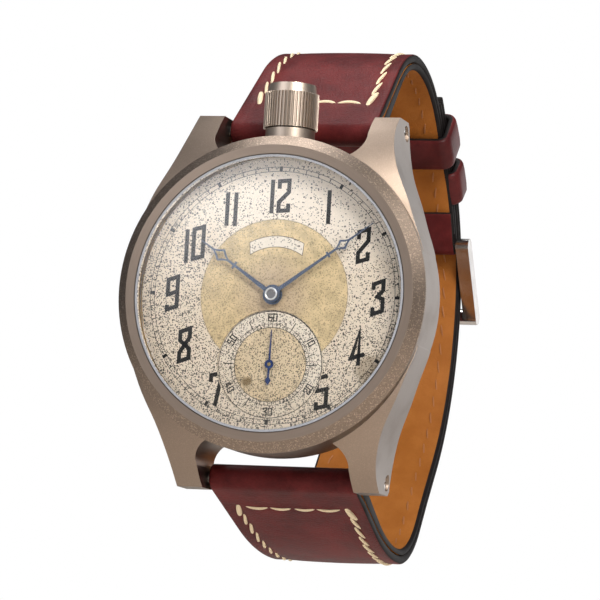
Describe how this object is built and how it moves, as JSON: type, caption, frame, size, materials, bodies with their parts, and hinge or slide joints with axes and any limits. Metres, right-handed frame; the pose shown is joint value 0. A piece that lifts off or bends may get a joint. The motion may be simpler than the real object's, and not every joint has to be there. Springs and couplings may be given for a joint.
{
  "type": "marine chronometer wristwatch",
  "caption": "Wristwatch built round a pocket chronometer movement: round case with lugs, 12 o'clock crown, sub-seconds dial, display back, stitched leather strap and pin buckle.",
  "frame": {"origin": "centre of the rear face of the case back", "axes": "+X to 3 o'clock, +Z to 12 o'clock, +Y out of the case back; the dial faces -Y"},
  "size_m": [0.046, 0.0798, 0.0771],
  "materials": {
    "titanium": "bead-blasted titanium",
    "crystal_glass": "polished sapphire",
    "gasket": "matt",
    "brass_ring": "satin",
    "steel": "polished and satin",
    "gilt": "gilt, brushed",
    "nickel": "damascened nickel",
    "blued_steel": "heat-blued steel",
    "ruby": "polished ruby",
    "silver_dial": "frosted silver with printed markings",
    "spring_steel": "blued spring steel",
    "burgundy_leather": "glossy pull-up leather",
    "tan_leather": "matt lining leather",
    "keeper_leather": "dark burgundy leather",
    "buckle_steel": "polished steel"
  },
  "bodies": {
    "case": {"case_middle": "titanium", "bezel": "titanium", "crystal": "crystal_glass", "crystal_gasket": "gasket", "case_back_ring": "titanium", "case_back_crystal": "crystal_glass", "back_gasket": "gasket", "movement_ring": "brass_ring", "crown_tube": "titanium", "strap_bar_screws": "steel", "crown_wheel_screw": "blued_steel", "mainspring": "spring_steel", "hairspring": "spring_steel", "main_plate": "nickel", "motion_post": "steel", "barrel_bridge": "nickel", "train_bridge": "nickel", "pallet_bridge": "nickel", "balance_cock": "nickel", "regulator": "steel", "jewels": "ruby", "jewel_settings": "gilt", "plate_screws": "blued_steel", "click_screw": "blued_steel", "dial": "silver_dial", "seconds_dial": "silver_dial", "strap_upper_leather": "burgundy_leather", "strap_upper_lining": "tan_leather", "strap_lower_leather": "burgundy_leather", "strap_lower_lining": "tan_leather", "fixed_keeper": "keeper_leather", "buckle_bar": "buckle_steel", "strap_bar_upper": "steel", "strap_bar_lower": "steel"},
    "crown_seal": {"crown_gasket": "gasket"},
    "crown_and_stem": {"crown": "titanium", "winding_stem": "steel"},
    "winding_pinion_body": {"winding_pinion": "steel"},
    "crown_wheel_body": {"crown_wheel": "steel"},
    "ratchet_and_arbor": {"ratchet_wheel": "steel", "barrel_arbor": "steel"},
    "barrel_body": {"mainspring_barrel": "gilt", "barrel_cover": "gilt"},
    "centre_and_minute_hand": {"centre_wheel": "gilt", "cannon_pinion": "steel", "minute_hand": "blued_steel"},
    "third_body": {"third_wheel": "gilt"},
    "fourth_and_seconds_hand": {"fourth_wheel": "gilt", "seconds_hand": "blued_steel"},
    "escape_body": {"escape_wheel": "steel"},
    "minute_wheel_body": {"minute_wheel": "gilt"},
    "hour_wheel_and_hand": {"hour_wheel": "gilt", "hour_hand": "blued_steel"},
    "pallet_body": {"pallet_fork": "steel"},
    "balance_body": {"balance_wheel": "gilt", "balance_staff": "steel"},
    "click_body": {"click": "steel"},
    "buckle_frame_body": {"buckle_frame": "buckle_steel"},
    "buckle_tongue_body": {"buckle_tongue": "buckle_steel"},
    "free_keeper_body": {"free_keeper": "keeper_leather"}
  },
  "joints": [
    {"name": "crown_pull", "type": "slide", "parent": "case", "child": "crown_seal", "axis": [0, 0, 1], "range_m": [0, 0.0012]},
    {"name": "crown_turn", "type": "hinge", "parent": "crown_seal", "child": "crown_and_stem", "pos_m": [0, -0.0052, 0.024], "axis": [0, 0, 1], "continuous": true},
    {"name": "winding_pinion_turn", "type": "hinge", "parent": "case", "child": "winding_pinion_body", "pos_m": [0, -0.0052, 0.016], "axis": [0, 0, 1], "continuous": true},
    {"name": "crown_wheel_turn", "type": "hinge", "parent": "case", "child": "crown_wheel_body", "pos_m": [-0.0009, -0.002, 0.0129], "axis": [0, 1, 0], "continuous": true},
    {"name": "ratchet_turn", "type": "hinge", "parent": "case", "child": "ratchet_and_arbor", "pos_m": [0.0053, -0.002, 0.00757], "axis": [0, 1, 0], "continuous": true},
    {"name": "fourth_wheel_turn", "type": "hinge", "parent": "case", "child": "fourth_and_seconds_hand", "pos_m": [0, -0.005, -0.01], "axis": [0, 1, 0], "continuous": true},
    {"name": "third_wheel_turn", "type": "hinge", "parent": "case", "child": "third_body", "pos_m": [0.00437, -0.005, -0.00572], "axis": [0, 1, 0], "continuous": true},
    {"name": "centre_wheel_turn", "type": "hinge", "parent": "case", "child": "centre_and_minute_hand", "pos_m": [0, -0.005, 0], "axis": [0, 1, 0], "continuous": true},
    {"name": "barrel_turn", "type": "hinge", "parent": "case", "child": "barrel_body", "pos_m": [0.0053, -0.004, 0.00757], "axis": [0, 1, 0], "continuous": true},
    {"name": "escape_wheel_turn", "type": "hinge", "parent": "case", "child": "escape_body", "pos_m": [-0.00481, -0.0044, -0.01138], "axis": [0, 1, 0], "continuous": true},
    {"name": "minute_wheel_turn", "type": "hinge", "parent": "case", "child": "minute_wheel_body", "pos_m": [0.003, -0.007, 0], "axis": [0, 1, 0], "continuous": true},
    {"name": "hour_wheel_turn", "type": "hinge", "parent": "case", "child": "hour_wheel_and_hand", "pos_m": [0, -0.0075, 0], "axis": [0, 1, 0], "continuous": true},
    {"name": "pallet_swing", "type": "hinge", "parent": "case", "child": "pallet_body", "pos_m": [-0.00662, -0.0044, -0.00759], "axis": [0, 1, 0], "range_deg": [-6, 6]},
    {"name": "balance_swing", "type": "hinge", "parent": "case", "child": "balance_body", "pos_m": [-0.0092, -0.003, -0.0022], "axis": [0, 1, 0], "range_deg": [-270, 270], "stiffness_Nm_per_rad": 0.00000067, "deforming": ["hairspring"]},
    {"name": "click_lift", "type": "hinge", "parent": "case", "child": "click_body", "pos_m": [0.0106, -0.0017, 0.0116], "axis": [0, 1, 0], "range_deg": [0, 12]},
    {"name": "buckle_frame_swing", "type": "hinge", "parent": "case", "child": "buckle_frame_body", "pos_m": [0, 0.05667, 0.01693], "axis": [1, 0, 0], "range_deg": [0, 5]},
    {"name": "buckle_tongue_swing", "type": "hinge", "parent": "buckle_frame_body", "child": "buckle_tongue_body", "pos_m": [0, 0.05667, 0.01693], "axis": [1, 0, 0], "range_deg": [0, 3]},
    {"name": "free_keeper_slide", "type": "slide", "parent": "case", "child": "free_keeper_body", "axis": [0, 0.7314, -0.682], "range_m": [-0.0015, 0.0015]}
  ],
  "couplings": [
    {"joint": "winding_pinion_turn", "follows": "crown_turn", "ratio": 1},
    {"joint": "crown_wheel_turn", "follows": "crown_turn", "ratio": -0.5},
    {"joint": "ratchet_turn", "follows": "crown_turn", "ratio": 0.35714},
    {"joint": "third_wheel_turn", "follows": "fourth_wheel_turn", "ratio": -0.13333},
    {"joint": "centre_wheel_turn", "follows": "fourth_wheel_turn", "ratio": 0.016667},
    {"joint": "barrel_turn", "follows": "fourth_wheel_turn", "ratio": -0.0027778},
    {"joint": "escape_wheel_turn", "follows": "fourth_wheel_turn", "ratio": -10},
    {"joint": "minute_wheel_turn", "follows": "fourth_wheel_turn", "ratio": -0.0055556},
    {"joint": "hour_wheel_turn", "follows": "fourth_wheel_turn", "ratio": 0.0013889}
  ]
}
